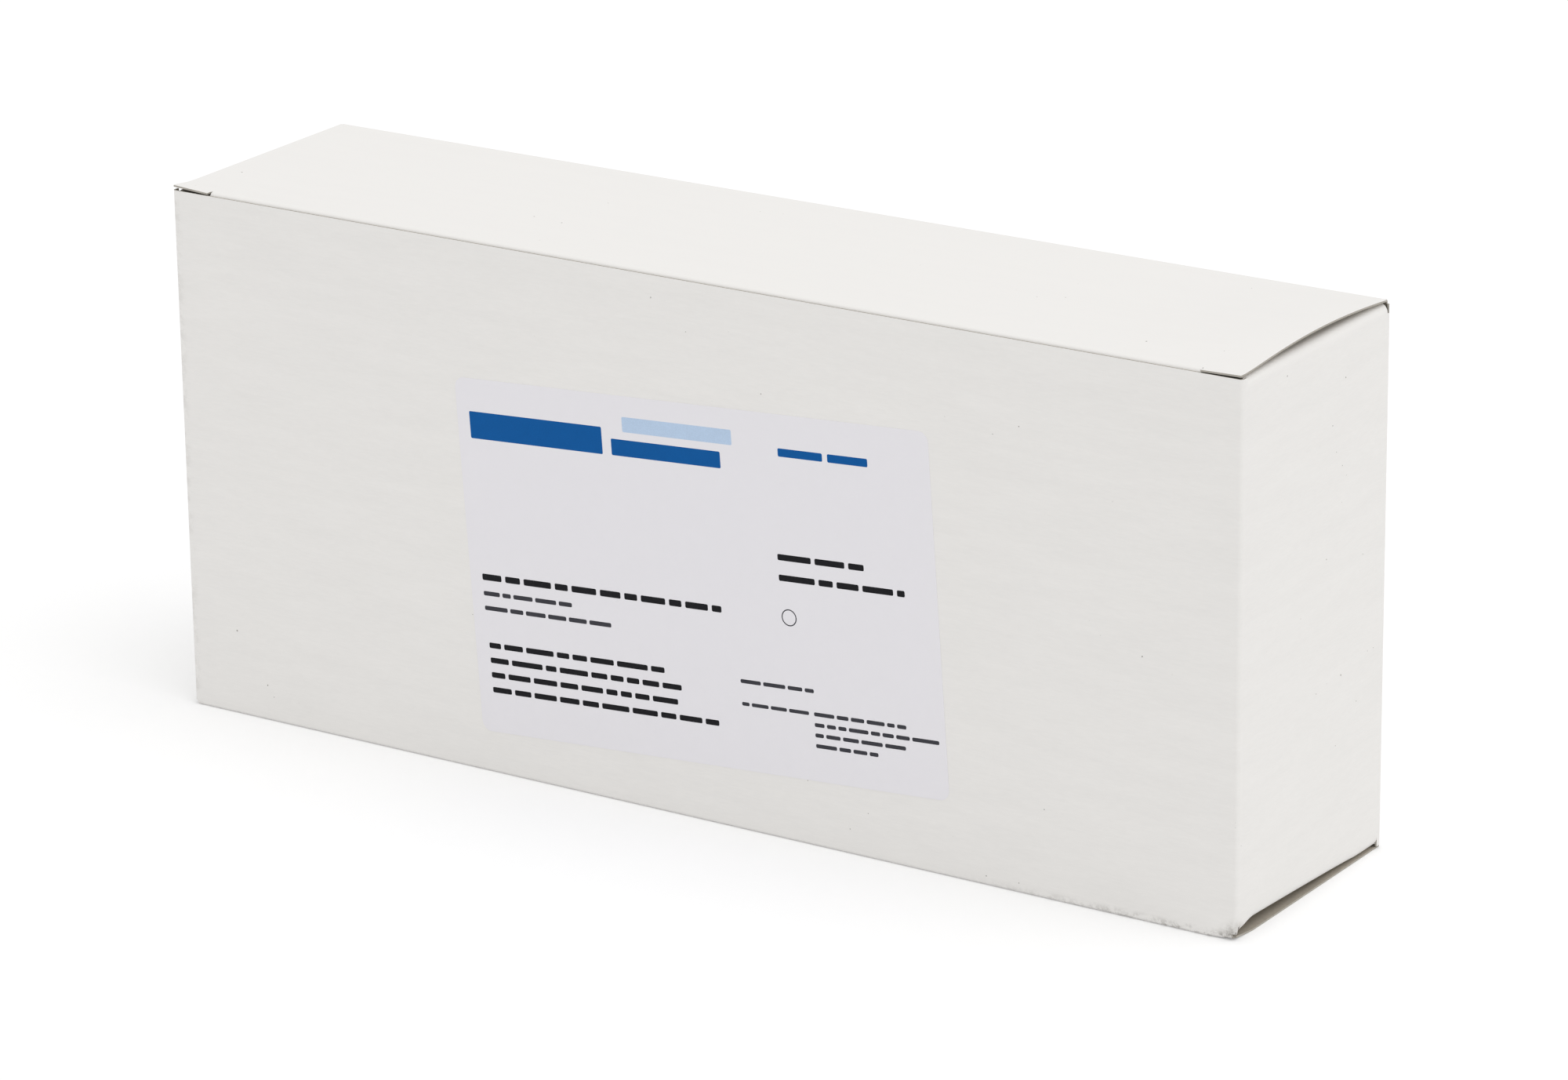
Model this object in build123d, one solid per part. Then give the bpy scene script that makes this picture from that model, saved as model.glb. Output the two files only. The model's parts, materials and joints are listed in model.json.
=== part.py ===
from build123d import *
import os
from math import acos, asin, cos, radians, sin, sqrt, tan

# A reverse tuck carton of folded filter papers. One sheet of paperboard makes a
# tube of four panels, with two dust flaps, a closure and a tuck flap at each end.
# The filters inside are half discs pleated into a fan and pressed flat.
#
# Millimetres. X runs along the carton, the front panel faces -Y and +Z is up.
# The origin is the centre of the base.

# Folded filter
filter_diameter = 150.0  # of the flat paper disc
filter_panels = 16  # double-layer panels that the half disc is pleated into
filter_spread = 33.1  # thickness of one collapsed fan across its rim
filter_paper = 0.18  # one layer
filter_tip = 1.1  # lost at the blunt tip, where all the folds gather
dense_height = 8.0  # above the tip, where the folds start to thin out

# How the filters are stored
filter_columns = 10  # along X
filter_rows = 5  # along Y
filter_tiers = 2  # along Z
filter_gap = 0.4  # between neighbouring rims
tier_gap = 0.3  # under each tip
headroom = 1.3  # over the top rims
end_room = 1.2  # between the last filters and each end panel
back_room = 0.8  # between the last filters and the back panel

# Paperboard
board = 0.5
crease_radius = 1.0  # outside of the folds between panels and into dust flaps
crease_gap = 0.05  # slit that stands for the score line at a closure's hinge
flap_gap = 0.15  # between a closure and the dust flaps under it
panel_edge_drop = 1.0  # raw edge of a tucked panel, below the closure's face
glue_flap_width = 14.0
glue_flap_taper = 6.0

# Closures: the top one hinges on the back panel, the bottom one on the front
closure_side_gap = 0.5  # between a closure's cut end and the end panel's face
closure_fold = 1.5  # outside radius of the fold into the tuck flap
tuck_depth = 18.0
tuck_gap = 0.25  # between a tuck flap and the panel it slips behind
tuck_end_gap = 1.0  # between a tuck flap and the end panels
tuck_corner = 9.0
slit_length = 12.0  # slit along the fold at each end, which frees a corner tab
ear_drop = 1.6  # top edge of the tuck flap's ears, below the closure's face
nick_length = 2.0  # relief cut at the slit's inner end
nick_width = 0.4
hinge_round = 0.4

# Dust flaps
dust_length = 45.0
dust_shoulder = 14.0  # full-width stretch beside the end panel
dust_step = 7.0
dust_corner = 5.0
dust_back_gap = 1.2

# Label on the front panel
label_width = 151.0
label_height = 101.0
label_corner = 3.0
label_thickness = 0.12
label_x = 4.2
label_z = 67.0
label_turn = 3.6  # degrees, counterclockwise from the front

# The fan's angles: every panel spans one sector, so the folds lean by turns to
# the front and the back, and fan out from one end to the other.
filter_radius = filter_diameter / 2
sector = radians(180 / filter_panels)
end_lean = asin((filter_spread / 2 - filter_paper) / (filter_radius * cos(sector / 2)))
fold_step = 2 * end_lean / filter_panels
side_lean = acos(sqrt((1 + cos(sector)) / (1 + cos(fold_step))))
filter_width = 2 * filter_radius * sin(side_lean)
filter_height = filter_radius - filter_tip

# The carton's size follows from its contents. The tuck flap curves inwards on
# its way down, and the rims behind it narrow more slowly than that.
pack_length = filter_columns * filter_spread + (filter_columns - 1) * filter_gap
pack_depth = filter_rows * filter_width + (filter_rows - 1) * filter_gap
tuck_curve = tuck_depth**2 / (2 * pack_depth)
rim_narrowing = (tuck_depth - 2 * board - flap_gap - headroom) * tan(side_lean)
front_room = tuck_gap + board + filter_gap + max(0.0, tuck_curve - rim_narrowing)
end_stack = 2 * board + flap_gap
length = pack_length + 2 * end_room + 2 * board
depth = pack_depth + front_room + back_room + 2 * board
height = 2 * end_stack + filter_tiers * (filter_height + tier_gap) + headroom

# Places shared by several pieces
front = -depth / 2
back = depth / 2
dust_top = height - board - flap_gap  # upper face of the top dust flaps
fold_start = dust_top - crease_radius  # where the end panels begin to fold
tuck_face = front + board + tuck_gap  # outer face of the tuck flap at its fold
slit_end = length / 2 - closure_side_gap - slit_length
middle = Axis((0, 0, height / 2), (1, 0, 0))  # turns a top feature to the bottom


def block(x, y, z):
    """A box between two limits along each axis."""
    size = [high - low for low, high in (x, y, z)]
    centre = [(low + high) / 2 for low, high in (x, y, z)]
    return Pos(*centre) * Box(*size)


def rectangle(x, y):
    """A flat rectangle between two limits along each sketch axis."""
    return Pos((x[0] + x[1]) / 2, (y[0] + y[1]) / 2) * Rectangle(x[1] - x[0], y[1] - y[0])


def panel_tube():
    """The four panels, with raw edges where a closure tucks in."""
    outside = RectangleRounded(length, depth, crease_radius)
    inside = RectangleRounded(length - 2 * board, depth - 2 * board, crease_radius - board)
    low = board + crease_gap
    tube = Pos(0, 0, low) * extrude(outside - inside, amount=height - 2 * low)
    beyond = length
    tuck_side = block((-beyond, beyond), (front - 1, front + crease_radius), (height - panel_edge_drop, height))
    end_tops = block((-beyond, beyond), (front + crease_radius, back - crease_radius), (fold_start, height))
    end_tops -= block((-length / 2 + 2 * board, length / 2 - 2 * board), (front, back), (0, height))
    for cut in (tuck_side, end_tops):
        tube -= cut
        tube -= cut.rotate(middle, 180)
    return tube


def dust_flap(side):
    """A top dust flap and the fold that it hangs on, at the end that side points to."""
    root = length / 2 - crease_radius
    fold = Pos(root, fold_start) * (Circle(crease_radius) - Circle(crease_radius - board))
    fold &= rectangle((root, length / 2), (fold_start, dust_top))
    flat = rectangle((length / 2 - dust_length, root), (dust_top - board, dust_top))
    bent = extrude(Plane.XZ * (fold + flat), amount=depth, both=True)

    near = tuck_face + closure_fold
    far = back - board - dust_back_gap
    tip = length / 2 - dust_length
    shoulder = length / 2 - dust_shoulder
    corners = [
        (length / 2, near),
        (shoulder, near),
        (shoulder - dust_step, near + dust_step),
        (tip, near + dust_step),
        (tip, far - dust_step),
        (shoulder, far),
        (length / 2, far),
    ]
    outline = make_face(Polyline(*corners, close=True))
    ends = [v for v in outline.vertices() if abs(v.X - tip) < board]
    plan = extrude(fillet(ends, dust_corner), amount=height)
    flap = bent & plan
    return flap if side > 0 else mirror(flap, Plane.YZ)


def glue_flap():
    """The strip that the back panel turns inside the left end panel."""
    face = -length / 2 + board
    edge = back - board - glue_flap_width
    low = fold_start - glue_flap_taper
    corners = [(back - board, height - low), (back - board, low), (edge, low - glue_flap_taper)]
    corners.append((edge, height - low + glue_flap_taper))
    strip = make_face(Polyline(*corners, close=True))
    return Pos(face, 0, 0) * extrude(Plane.YZ * strip, amount=board)


def carton_body():
    """The tube with its four dust flaps folded in."""
    body = panel_tube() + glue_flap()
    for side in (-1, 1):
        flap = dust_flap(side)
        body += flap
        body += flap.rotate(middle, 180)
    return body


def closure_section():
    """Section of the top closure: its panel, fold and tuck flap, seen along X.

    The tuck flap follows a circle about the hinge, so it slides out along itself.
    """
    hinge = Pos(back, height - board)
    reach = back - tuck_face

    def nested(inset):
        window = rectangle((front, back + inset), (height - 2 * tuck_depth, height - inset))
        shape = (hinge * Circle(reach - inset)) & window
        corner = min(shape.vertices(), key=lambda v: v.X - v.Y)
        return fillet(corner, closure_fold - inset)

    return (nested(0) - nested(board)) & rectangle((front, back), (height - tuck_depth, height))


def top_lid():
    """The top closure: panel, two corner tabs and a tuck flap with two ears."""
    half = length / 2 - closure_side_gap
    fold_back = tuck_face + closure_fold
    flat = rectangle((front, back), (height - board, height))
    rear_corner = max(flat.vertices(), key=lambda v: v.X + v.Y)
    panel = extrude(Plane.YZ * fillet(rear_corner, hinge_round), amount=half, both=True)
    panel -= block((-slit_end, slit_end), (front, fold_back), (height - board, height))

    ears = length / 2 - board - tuck_end_gap
    outline = rectangle((-ears, ears), (height - tuck_depth, height))
    low_corners = outline.vertices().sort_by(Axis.Y)[:2]
    outline = extrude(Plane.XZ * fillet(low_corners, tuck_corner), amount=depth, both=True)
    tuck = extrude(Plane.YZ * closure_section(), amount=ears, both=True) & outline
    tuck &= block((-ears, ears), (front, fold_back + closure_fold), (0, height))
    for side in (-1, 1):
        ends = sorted((side * slit_end, side * length))
        tuck -= block(ends, (front, back), (height - ear_drop, height))
    lid = panel + tuck

    for side in (-1, 1):
        nick = [side * slit_end - nick_width / 2, side * slit_end + nick_width / 2]
        lid -= block(nick, (front, tuck_face + nick_length), (height - ear_drop, height))
    return lid


def label():
    """The paper label, stuck on a little crooked."""
    place = Plane.XZ.offset(-front) * Pos(label_x, label_z) * Rot(0, 0, label_turn)
    return extrude(place * RectangleRounded(label_width, label_height, label_corner), amount=label_thickness)


def fold_place(number, rise):
    """Where a fold of the fan passes at a height above the tip's centre."""
    turn = number * fold_step - end_lean
    side = -1 if number % 2 == 0 else 1
    return Vector(rise * tan(turn), side * rise * tan(side_lean) / cos(turn))


def fan_outline(rise):
    """Level section through the fan: a zigzag with flat folds."""
    half_sheet = Vector(filter_paper, 0)
    upper = [fold_place(0, rise) - half_sheet]
    lower = [fold_place(0, rise) + half_sheet]
    for number in range(1, filter_panels):
        before, fold, after = (fold_place(number + i, rise) for i in (-1, 0, 1))
        ratio = (before.Y - fold.Y) / (after.Y - fold.Y)
        share = 2 * filter_paper / (ratio * (after.X - fold.X) + fold.X - before.X)
        inner = fold + (before - fold) * share + half_sheet
        outer = [fold - half_sheet, fold + half_sheet]
        upper += outer if fold.Y > 0 else [inner]
        lower += outer if fold.Y < 0 else [inner]
    last = fold_place(filter_panels, rise)
    upper.append(last + half_sheet)
    lower.append(last - half_sheet)
    return [Vector(p.X, p.Y, rise) for p in upper + lower[::-1]]


def folded_filter():
    """One collapsed filter, with its tip down, measured from the tip's centre."""
    dense = fan_outline(dense_height)
    sections = [[p * (filter_tip / dense_height) for p in dense], dense, fan_outline(filter_radius + 1)]
    faces = [Face(Wire.make_polygon(sections[0])), Face(Wire.make_polygon(sections[-1]))]
    for low, high in zip(sections, sections[1:]):
        for i in range(len(low)):
            corners = [low[i - 1], low[i], high[i], high[i - 1]]
            faces.append(Face(Wire.make_polygon(corners)))
    fan = Solid(Shell(faces))
    return fan & (Rot(90, 0, 0) * Sphere(filter_radius))


def filter_row(fan, tier, row):
    """One row of filters along the carton."""
    y = front + board + front_room + filter_width / 2 + row * (filter_width + filter_gap)
    z = end_stack + tier_gap - filter_tip + tier * (filter_height + tier_gap)
    x_first = (filter_spread - pack_length) / 2
    pitch = filter_spread + filter_gap
    return Compound([(Pos(x_first + i * pitch, y, z) * fan).solid() for i in range(filter_columns)])


lid = top_lid()
fan = folded_filter()
parts = {
    "carton_body": carton_body(),
    "top_lid": lid,
    "bottom_flap": lid.rotate(middle, 180),
    "label": label(),
}
for tier, tier_name in enumerate(("lower", "upper")):
    for row in range(filter_rows):
        parts[f"{tier_name}_filters_row_{row + 1}"] = filter_row(fan, tier, row)

os.makedirs("parts", exist_ok=True)
for name, shape in parts.items():
    export_step(shape, f"parts/{name}.step")
print(f"carton {length:.2f} x {depth:.2f} x {height:.2f} mm, filter width {filter_width:.2f} mm")
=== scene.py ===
"""A white reverse tuck carton of folded filter papers, on a pale studio floor.

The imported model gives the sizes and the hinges. The paperboard pieces are
modelled here as folded sheets around it, and the filters keep their own solids.
Everything is in metres. X runs along the carton, and its front panel faces -Y.
"""

import json
import math
import random
from typing import NamedTuple

import bmesh
import bpy
from bpy.props import FloatProperty, FloatVectorProperty, PointerProperty
from mathutils import Euler, Matrix, Vector, noise


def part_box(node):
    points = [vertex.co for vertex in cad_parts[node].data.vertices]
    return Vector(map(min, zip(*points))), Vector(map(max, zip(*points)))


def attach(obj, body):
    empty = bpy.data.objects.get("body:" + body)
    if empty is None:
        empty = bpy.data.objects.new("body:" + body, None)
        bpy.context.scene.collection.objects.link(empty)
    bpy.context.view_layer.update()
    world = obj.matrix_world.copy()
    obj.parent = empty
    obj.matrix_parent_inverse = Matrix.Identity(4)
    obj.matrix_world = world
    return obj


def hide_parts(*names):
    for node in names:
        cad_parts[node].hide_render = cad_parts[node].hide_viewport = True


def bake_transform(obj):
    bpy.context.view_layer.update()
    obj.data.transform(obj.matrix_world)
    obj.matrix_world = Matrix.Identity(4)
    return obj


bl_info = {
    "name": "Folding Carton of Filter Papers",
    "version": (1, 0, 0),
    "blender": (4, 5, 0),
    "location": "View3D > Sidebar > Carton",
    "description": "Builds a paperboard carton, its label and its studio around the packed model",
    "category": "Add Mesh",
}

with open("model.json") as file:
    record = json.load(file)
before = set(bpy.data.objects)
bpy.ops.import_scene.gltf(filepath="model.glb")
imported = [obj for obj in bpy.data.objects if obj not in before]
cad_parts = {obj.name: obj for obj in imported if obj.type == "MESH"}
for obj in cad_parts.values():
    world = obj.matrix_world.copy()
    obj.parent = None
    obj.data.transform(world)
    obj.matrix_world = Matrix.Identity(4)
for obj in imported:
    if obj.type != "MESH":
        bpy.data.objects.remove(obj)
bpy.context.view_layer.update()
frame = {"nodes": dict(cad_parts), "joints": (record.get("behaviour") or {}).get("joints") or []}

MM = 0.001
SNAP = 0.02 * MM  # places closer than this are the same
WELD = 0.005 * MM  # points closer than this are merged
CUT_SNAP = 0.002 * MM  # a cut this close to a point goes through it
QUARTER_TURN = math.pi / 2
SMOOTH_UP_TO = math.radians(35)  # sharper edges than this keep a crisp shade

# The outer faces of the carton
LEFT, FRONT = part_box("carton_body")[0][:2]
RIGHT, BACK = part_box("carton_body")[1][:2]
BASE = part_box("bottom_flap")[0].z
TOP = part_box("top_lid")[1].z
MIDDLE = (BASE + TOP) / 2
LENGTH, DEPTH, HEIGHT = RIGHT - LEFT, BACK - FRONT, TOP - BASE
LID_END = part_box("top_lid")[1].x
LID_HINGE = next(Vector(j["pos_m"]) for j in frame["joints"] if j["name"] == "lid_hinge")
LABEL_CENTRE = sum(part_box("label"), Vector()) / 2


def display(red, green, blue):
    """A colour given as it looks on screen, from 0 to 255, in linear light."""
    parts = [value / 255 for value in (red, green, blue)]
    return [p / 12.92 if p <= 0.04045 else ((p + 0.055) / 1.055) ** 2.4 for p in parts] + [1.0]


def distance(name, description, millimetres):
    """A length that the user can change."""
    return FloatProperty(
        name=name,
        description=description,
        default=millimetres * MM,
        min=0,
        precision=5,
        subtype="DISTANCE",
        unit="LENGTH",
    )


def colour(name, description, *screen):
    """A colour that the user can change."""
    return FloatVectorProperty(
        name=name,
        description=description,
        default=display(*screen),
        size=4,
        min=0,
        max=1,
        subtype="COLOR",
    )


class CartonSizes(bpy.types.PropertyGroup):
    """Sizes of the board pieces and the label"""

    board: distance("Board", "Thickness of the paperboard", 0.5)
    corner_round: distance("Corner round", "Outside radius of the upright creases", 1.0)
    crease_round: distance("Crease round", "Outside radius of the closures' creases", 1.0)
    crease_straight: distance("Crease straight", "Flat board on each side of a closure's crease", 0.3)
    dust_round: distance("Dust flap round", "Outside radius of the folds into the dust flaps", 2.8)
    dust_face: distance("Dust flap depth", "From a closure's face down to the dust flaps", 0.65)
    dust_length: distance("Dust flap length", "How far a dust flap reaches in from its end", 45)
    dust_shoulder: distance("Dust flap shoulder", "Full-width stretch of a dust flap", 14)
    dust_step: distance("Dust flap step", "How much narrower a dust flap is past its shoulder", 7)
    dust_corner: distance("Dust flap corner", "Corner radius of a dust flap", 5)
    edge_drop: distance("Edge drop", "From a closure's face to the raw edge it tucks behind", 0.8)
    tuck_set: distance("Tuck set-back", "From a panel's outer face to the tuck flap behind it", 0.75)
    tuck_fold: distance("Tuck fold", "Outside radius of the fold into a tuck flap", 1.5)
    tuck_depth: distance("Tuck depth", "Depth of a tuck flap", 18)
    tuck_corner: distance("Tuck corner", "Corner radius of a tuck flap", 9)
    tuck_ends: distance("Tuck ends", "From a tuck flap's end to the end panel's face", 1.5)
    slit: distance("Slit", "Length of the slit that frees each corner tab", 12)
    slit_open: distance("Slit opening", "Width of the relief cut at the inner end of a slit", 0.35)
    ear_drop: distance("Ear drop", "From a closure's face down to the tuck flap's ears", 1.7)
    glue_flap: distance("Glue flap", "Width of the glue flap inside the left end panel", 14)
    seam: distance("Seam", "Width of the groove beside the left end panel's raw edge", 0.15)
    lid_bow: distance("Lid bow", "How far the lid's right edge stands up in its middle", 2.1)
    left_tab_lift: distance("Left tab lift", "How far the lid's left corner tab stands up", 0.7)
    right_tab_lift: distance("Right tab lift", "How far the lid's right corner tab stands up", 0.3)
    bottom_gap: distance("Bottom gap", "Height of the gap under the right end panel", 2.9)
    crush: distance("Crushed corner", "How far the front right bottom corner is pushed in", 1.1)
    label_width: distance("Label width", "Width of the front label", 151)
    label_height: distance("Label height", "Height of the front label", 101)
    label_corner: distance("Label corner", "Corner radius of the front label", 3)
    label_thickness: distance("Label thickness", "Thickness of the front label", 0.12)
    ink_thickness: distance("Ink thickness", "Thickness of the print on the label", 0.02)


class CartonColours(bpy.types.PropertyGroup):
    """Colours of the board, the label, its print and the floor"""

    face: colour("Board face", "Coated white outside of the board", 241, 239, 236)
    back: colour("Board back", "Uncoated inside of the board", 168, 160, 147)
    cut: colour("Board edge", "Cut edge of the board", 176, 171, 162)
    grime: colour("Grime", "Dirt on rubbed edges", 104, 96, 84)
    label: colour("Label paper", "Paper of the front label", 238, 236, 240)
    ink: colour("Dark print", "Bold bars printed on the label", 22, 22, 26)
    thin: colour("Light print", "Small bars printed on the label", 62, 62, 68)
    blue: colour("Blue print", "Blue fields printed on the label", 0, 88, 158)
    pale: colour("Pale print", "Pale blue fields printed on the label", 190, 211, 236)
    filter: colour("Filter paper", "Unglazed paper of the filters", 240, 239, 233)
    floor: colour("Floor", "Studio floor", 238, 238, 238)


# --- Selecting and shaping ---------------------------------------------------


def begin():
    """Leaves edit mode and deselects everything."""
    if bpy.context.object and bpy.context.object.mode != "OBJECT":
        bpy.ops.object.mode_set(mode="OBJECT")
    bpy.ops.object.select_all(action="DESELECT")


def name_piece(name, size=(1, 1, 1)):
    """Names the object just added, puts its size and place into its mesh, and enters edit mode."""
    piece = bpy.context.object
    piece.name = piece.data.name = name
    piece.scale = size
    bpy.ops.object.transform_apply(location=True, rotation=True, scale=True)
    bpy.ops.object.mode_set(mode="EDIT")
    return piece


def show_picked(mesh, parts):
    """Hands a selection made here to the edit tools, or stops if it is empty."""
    if not any(part.select for part in parts):
        raise RuntimeError(f"{bpy.context.object.name}: nothing to shape at the place asked for")
    bmesh.update_edit_mesh(bpy.context.object.data)


def pick(kind, test):
    """Selects the edges or faces whose corners and middle all pass the test."""
    bpy.ops.mesh.select_mode(type=kind)
    bpy.ops.mesh.select_all(action="DESELECT")
    mesh = bmesh.from_edit_mesh(bpy.context.object.data)
    parts = mesh.edges if kind == "EDGE" else mesh.faces
    for part in parts:
        corners = [corner.co for corner in part.verts]
        middle = sum(corners, Vector()) / len(corners)
        part.select_set(all(test(spot) for spot in (*corners, middle)))
    show_picked(mesh, parts)


def pick_rim(test):
    """Selects the open edges whose two ends pass the test."""
    bpy.ops.mesh.select_mode(type="EDGE")
    bpy.ops.mesh.select_all(action="DESELECT")
    mesh = bmesh.from_edit_mesh(bpy.context.object.data)
    for edge in mesh.edges:
        edge.select_set(edge.is_boundary and all(test(corner.co) for corner in edge.verts))
    show_picked(mesh, mesh.edges)


def near(value, target):
    """True where two coordinates are the same."""
    return abs(value - target) < SNAP


def between(value, low, high):
    """True from low to high, both ends counted."""
    return low - SNAP <= value <= high + SNAP


def pull_edges(step, count=1):
    """Extrudes the selected edges by a step, a number of times."""
    for _ in range(count):
        bpy.ops.mesh.extrude_edges_move(TRANSFORM_OT_translate={"value": step})


def turn_edges(steps, angle, centre, axis):
    """Extrudes the selected edges round an axis, anticlockwise as it points at the eye."""
    bpy.ops.mesh.spin(steps=steps, angle=-angle, center=centre, axis=axis)


def cut_at(axis, *places):
    """Adds a line of edges across the whole mesh at each place along an axis."""
    normal = Vector((0, 0, 0))
    normal[axis] = 1
    for place in places:
        bpy.ops.mesh.select_all(action="SELECT")
        bpy.ops.mesh.bisect(plane_co=normal * place, plane_no=normal, threshold=CUT_SNAP)


def inset_from(face, millimetres):
    """Places that lie some millimetres in from a face, towards the carton's middle."""
    return [face - math.copysign(step * MM, face) for step in millimetres]


def move_points(piece, move):
    """Moves every vertex to where a function of its place says."""
    bpy.ops.object.mode_set(mode="OBJECT")
    for vertex in piece.data.vertices:
        vertex.co = move(vertex.co.copy())
    piece.data.update()


def ease(value, start, end):
    """A smooth rise from 0 at start to 1 at end."""
    share = min(1.0, max(0.0, (value - start) / (end - start)))
    return share * share * (3 - 2 * share)


def corner_inset(radius, past):
    """How far a rounded corner's outline has drawn in, at a distance past its beginning."""
    return radius - math.sqrt(max(0.0, radius**2 - max(0.0, past) ** 2))


def thicken(piece, thickness, outward, materials):
    """Gives a sheet its thickness on its inner side, with its own back and cut edge."""
    for material in materials:
        piece.data.materials.append(material)
    bpy.ops.object.mode_set(mode="EDIT")
    bpy.ops.mesh.select_all(action="SELECT")
    bpy.ops.mesh.remove_doubles(threshold=WELD)
    bpy.ops.mesh.normals_make_consistent(inside=False)
    mesh = bmesh.from_edit_mesh(piece.data)
    facing = sum(
        outward(face.calc_center_median()).dot(face.normal) * face.calc_area()
        for face in mesh.faces
    )
    if facing < 0:
        bpy.ops.mesh.flip_normals()
    bpy.ops.object.mode_set(mode="OBJECT")
    wall = piece.modifiers.new("Board", "SOLIDIFY")
    wall.thickness = thickness
    wall.offset = -1
    wall.use_even_offset = True
    wall.material_offset = min(1, len(materials) - 1)
    wall.material_offset_rim = len(materials) - 1
    bpy.ops.object.modifier_apply(modifier=wall.name)
    bpy.ops.object.shade_smooth_by_angle(angle=SMOOTH_UP_TO)


def outward_from_middle(spot):
    """Outwards for a piece of the tube."""
    return spot - Vector((0, 0, MIDDLE))


def outward_to_front(spot):
    """Outwards for a piece that lies on the front panel."""
    return Vector((0, -1, 0))


# --- Materials ---------------------------------------------------------------


class Finish(NamedTuple):
    """How the surface of a paper or a print looks."""

    fibres: tuple  # fibres to a metre along each axis
    streaks: float  # how far fine streaks change the tone
    mottle: float  # how far soft patches change the tone
    roughness: float
    bump: float  # strength of the fibres' relief
    relief: float  # its depth
    gloss: float = 0.5  # specular level
    sheen: float = 0.0


# Coated board, with its grain along the carton on the walls and across the closures
UPRIGHT_FACE = Finish((320, 320, 1900), 0.07, 0.056, 0.48, 0.22, 0.05 * MM, gloss=0.35)
LEVEL_FACE = Finish((180, 1500, 1500), 0.02, 0.016, 0.48, 0.22, 0.05 * MM, gloss=0.35)
BOARD_BACK = Finish((900, 1500, 1500), 0.4, 0.12, 0.85, 0.4, 0.06 * MM)
BOARD_CUT = Finish((2500, 2500, 5000), 0.3, 0.2, 0.9, 0.5, 0.05 * MM)
LABEL_PAPER = Finish((1400, 1400, 1400), 0.012, 0.02, 0.42, 0.1, 0.03 * MM)
PRINT = Finish((2600, 2600, 2600), 0.25, 0.1, 0.5, 0.1, 0.02 * MM, gloss=0.12)
FILTER_PAPER = Finish((1200, 1200, 1200), 0.09, 0.06, 0.95, 0.6, 0.08 * MM, sheen=0.15)

WEAR, SPECKS = 0.75, 0.75  # how dark the grime and the specks are, at most
GRIMY_ROUGHNESS = 0.8


def new_material(name):
    """A node material, its node tree and its Principled shader."""
    material = bpy.data.materials.new(name)
    material.use_nodes = True
    return material, material.node_tree, material.node_tree.nodes["Principled BSDF"]


def feed(tree, socket, value):
    """Links a value from another node to a socket, or sets it there."""
    if isinstance(value, bpy.types.NodeSocket):
        tree.links.new(value, socket)
    else:
        socket.default_value = value


def add_node(tree, kind, inputs=None, **settings):
    """Adds a node, with settings as attributes and inputs as values or links."""
    node = tree.nodes.new(kind)
    for key, value in settings.items():
        setattr(node, key, value)
    for key, value in (inputs or {}).items():
        feed(tree, node.inputs[key], value)
    return node


def compute(tree, operation, *values):
    """A math node's result."""
    inputs = dict(enumerate(values))
    return add_node(tree, "ShaderNodeMath", inputs, operation=operation).outputs[0]


def multiply(tree, *values):
    """The product of two or more values."""
    result = values[0]
    for value in values[1:]:
        result = compute(tree, "MULTIPLY", result, value)
    return result


def remap(tree, value, start, end, low=0.0, high=1.0):
    """A value brought smoothly from one range to another, and held at its ends."""
    inputs = {"Value": value, "From Min": start, "From Max": end, "To Min": low, "To Max": high}
    node = add_node(tree, "ShaderNodeMapRange", inputs, interpolation_type="SMOOTHSTEP")
    return node.outputs["Result"]


def near_value(tree, value, target, reach):
    """1 at a target, falling to 0 a reach away from it."""
    off = compute(tree, "ABSOLUTE", compute(tree, "SUBTRACT", value, target))
    return remap(tree, off, reach, 0.0)


def cloud(tree, vector, scale, detail=0.0, roughness=0.5):
    """Soft noise from 0 to 1."""
    inputs = {"Vector": vector, "Scale": scale, "Detail": detail, "Roughness": roughness}
    return add_node(tree, "ShaderNodeTexNoise", inputs).outputs["Fac"]


def own_place(tree):
    """The object's own coordinates."""
    return add_node(tree, "ShaderNodeTexCoord").outputs["Object"]


def new_group(name, inputs, outputs):
    """A shader node group and its input and output nodes, or None for those if it exists."""
    if name in bpy.data.node_groups:
        return bpy.data.node_groups[name], None, None
    group = bpy.data.node_groups.new(name, "ShaderNodeTree")
    for socket, kind in inputs.items():
        group.interface.new_socket(name=socket, in_out="INPUT", socket_type=kind)
    for socket in outputs:
        group.interface.new_socket(name=socket, in_out="OUTPUT", socket_type="NodeSocketFloat")
    return group, add_node(group, "NodeGroupInput"), add_node(group, "NodeGroupOutput")


def fibre_group():
    """Paper fibres: fine streaks over a soft mottle, as a tone about 1 and a height."""
    sockets = {
        "Vector": "NodeSocketVector",
        "Streaks": "NodeSocketFloat",
        "Mottle": "NodeSocketFloat",
    }
    group, entry, result = new_group("Paper Fibres", sockets, ("Tone", "Height"))
    if entry is None:
        return group
    vector = entry.outputs["Vector"]
    fine = cloud(group, vector, 1.0, 5.0, 0.62)
    broad = cloud(group, vector, 0.13, 3.0, 0.5)
    tone = 1.0
    for pattern, amount in ((fine, "Streaks"), (broad, "Mottle")):
        change = multiply(group, compute(group, "SUBTRACT", pattern, 0.5), entry.outputs[amount])
        tone = compute(group, "ADD", change, tone)
    feed(group, result.inputs["Tone"], tone)
    feed(group, result.inputs["Height"], fine)
    return group


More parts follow.
